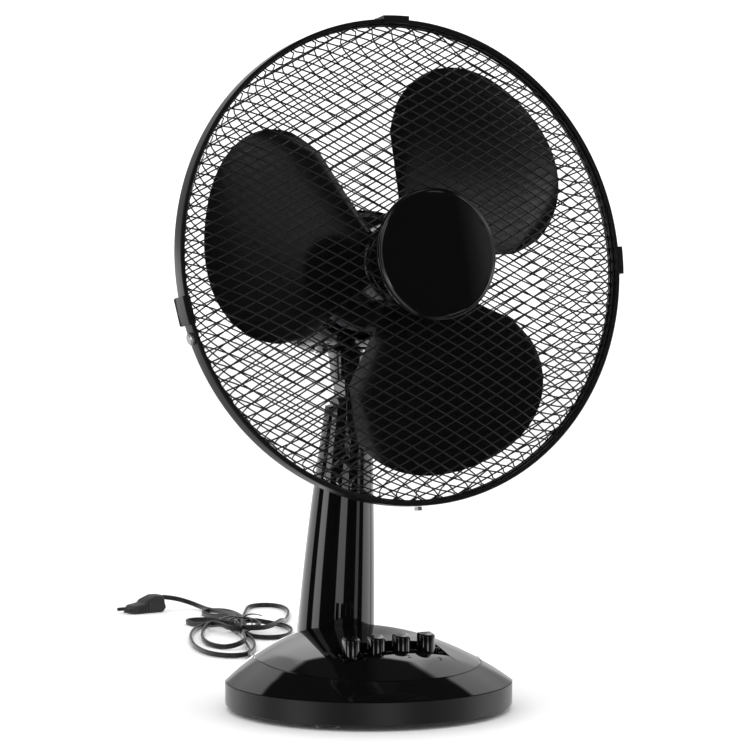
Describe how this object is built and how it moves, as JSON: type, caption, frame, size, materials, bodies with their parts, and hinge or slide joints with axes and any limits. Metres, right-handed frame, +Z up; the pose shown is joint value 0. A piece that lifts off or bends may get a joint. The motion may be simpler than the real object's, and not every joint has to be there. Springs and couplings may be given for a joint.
{
  "type": "table fan",
  "caption": "Oscillating table fan: three-blade impeller in a round wire cage on a tilting, swinging motor head, over an oval column and a domed base with a row of speed keys.",
  "frame": {"origin": "on the ground under the centre of the round base, which is the bottom centre of the fan without its cord", "axes": "+Z up; -Y is the side the fan blows to, with the keys; +X is to the right of someone facing +Y"},
  "size_m": [0.4316, 0.8488, 0.62],
  "materials": {
    "gloss_black": "high gloss moulded ABS",
    "satin_black": "satin moulded plastic",
    "blade_black": "semi-gloss moulded plastic",
    "wire_black": "black powder-coated wire",
    "rubber_black": "matte",
    "cord_grey": "satin flexible PVC",
    "casting_grey": "painted casting",
    "zinc": "zinc plated",
    "steel": "ground",
    "copper": "varnished winding wire",
    "bronze": "sintered, oiled",
    "nylon": "natural moulded nylon",
    "switch_grey": "moulded"
  },
  "bodies": {
    "base": {"base_cover": "gloss_black", "base_tray": "satin_black", "ballast_plate": "zinc", "foot_1": "rubber_black", "foot_2": "rubber_black", "foot_3": "rubber_black", "foot_4": "rubber_black", "button_bezel": "satin_black", "switch_body": "switch_grey", "capacitor": "switch_grey", "column": "gloss_black", "column_bolt_1": "zinc", "column_bolt_2": "zinc", "neck_fork": "satin_black", "tilt_bolt": "zinc", "tilt_nut": "zinc", "strain_relief": "rubber_black", "cord_tail": "cord_grey", "cord_hank": "cord_grey", "cord_lead": "cord_grey", "plug": "rubber_black"},
    "neck": {"tilt_neck": "satin_black"},
    "head": {"motor_cover": "gloss_black", "motor_front_plate": "casting_grey", "motor_bracket": "casting_grey", "front_bearing": "bronze", "rear_bearing": "bronze", "stator_core": "steel", "front_winding": "copper", "rear_winding": "copper", "gear_case": "casting_grey", "motor_stud_1": "zinc", "motor_stud_2": "zinc", "motor_stud_3": "zinc", "motor_stud_4": "zinc", "rear_grille": "wire_black", "grille_nut": "satin_black", "front_grille": "wire_black", "grille_cap": "gloss_black", "clamp_ring": "gloss_black", "side_catch": "zinc", "ring_screw": "zinc"},
    "rotor": {"impeller": "blade_black", "spinner_nut": "satin_black", "motor_shaft": "steel", "rotor_core": "steel"},
    "spindle": {"worm_wheel": "nylon", "output_spindle": "steel"},
    "crank": {"crank_gear": "nylon"},
    "link": {"crank_link": "zinc"},
    "knob": {"swing_knob": "gloss_black"},
    "key_0": {"button_0": "gloss_black"},
    "key_1": {"button_1": "gloss_black"},
    "key_2": {"button_2": "gloss_black"},
    "key_3": {"button_3": "gloss_black"},
    "top_clip": {"clip_top": "gloss_black"},
    "side_clip": {"clip_side": "gloss_black"},
    "left_clip": {"clip_left": "zinc"}
  },
  "joints": [
    {"name": "head_tilt", "type": "hinge", "parent": "base", "child": "neck", "pos_m": [0, 0.0427, 0.2674], "axis": [-1, 0, 0], "range_deg": [-15, 13]},
    {"name": "head_swing", "type": "hinge", "parent": "neck", "child": "head", "pos_m": [0, 0.05755, 0.38749], "axis": [0, 0.1227, 0.9924], "range_deg": [-40, 40]},
    {"name": "fan_spin", "type": "hinge", "parent": "head", "child": "rotor", "pos_m": [0, -0.07246, 0.40356], "axis": [0, -0.9924, 0.1227], "continuous": true},
    {"name": "spindle_spin", "type": "hinge", "parent": "head", "child": "spindle", "pos_m": [0.016, 0.08732, 0.3838], "axis": [0, 0.1227, 0.9924], "continuous": true},
    {"name": "crank_spin", "type": "hinge", "parent": "head", "child": "crank", "pos_m": [0, 0.08137, 0.38454], "axis": [0, 0.1227, 0.9924], "continuous": true},
    {"name": "link_swing", "type": "hinge", "parent": "neck", "child": "link", "pos_m": [0.024, 0.05141, 0.33786], "axis": [0, 0.1227, 0.9924], "range_deg": [-20, 20]},
    {"name": "knob_pull", "type": "slide", "parent": "spindle", "child": "knob", "axis": [0, 0.1227, 0.9924], "range_m": [0, 0.006]},
    {"name": "key_0_press", "type": "slide", "parent": "base", "child": "key_0", "axis": [0, 0, -1], "range_m": [0, 0.004], "stiffness_N_per_m": 300, "springref_m": -0.002},
    {"name": "key_1_press", "type": "slide", "parent": "base", "child": "key_1", "axis": [0, 0, -1], "range_m": [0, 0.004], "stiffness_N_per_m": 300, "springref_m": -0.002},
    {"name": "key_2_press", "type": "slide", "parent": "base", "child": "key_2", "axis": [0, 0, -1], "range_m": [0, 0.004], "stiffness_N_per_m": 300, "springref_m": -0.002},
    {"name": "key_3_press", "type": "slide", "parent": "base", "child": "key_3", "axis": [0, 0, -1], "range_m": [0, 0.004], "stiffness_N_per_m": 300, "springref_m": -0.002},
    {"name": "top_clip_open", "type": "hinge", "parent": "head", "child": "top_clip", "pos_m": [0, -0.03707, 0.61643], "axis": [-1, 0, 0], "range_deg": [0, 60]},
    {"name": "side_clip_open", "type": "hinge", "parent": "head", "child": "side_clip", "pos_m": [0.2156, -0.06353, 0.40246], "axis": [0, 0.1227, 0.9924], "range_deg": [0, 60]},
    {"name": "left_clip_open", "type": "hinge", "parent": "head", "child": "left_clip", "pos_m": [-0.21164, -0.06858, 0.36163], "axis": [0.1908, -0.1205, -0.9742], "range_deg": [0, 60]}
  ],
  "couplings": [
    {"joint": "spindle_spin", "follows": "fan_spin", "ratio": 0.025},
    {"joint": "crank_spin", "follows": "fan_spin", "ratio": -0.0078125},
    {"joint": "link_swing", "follows": "head_swing", "ratio": 0.5}
  ]
}
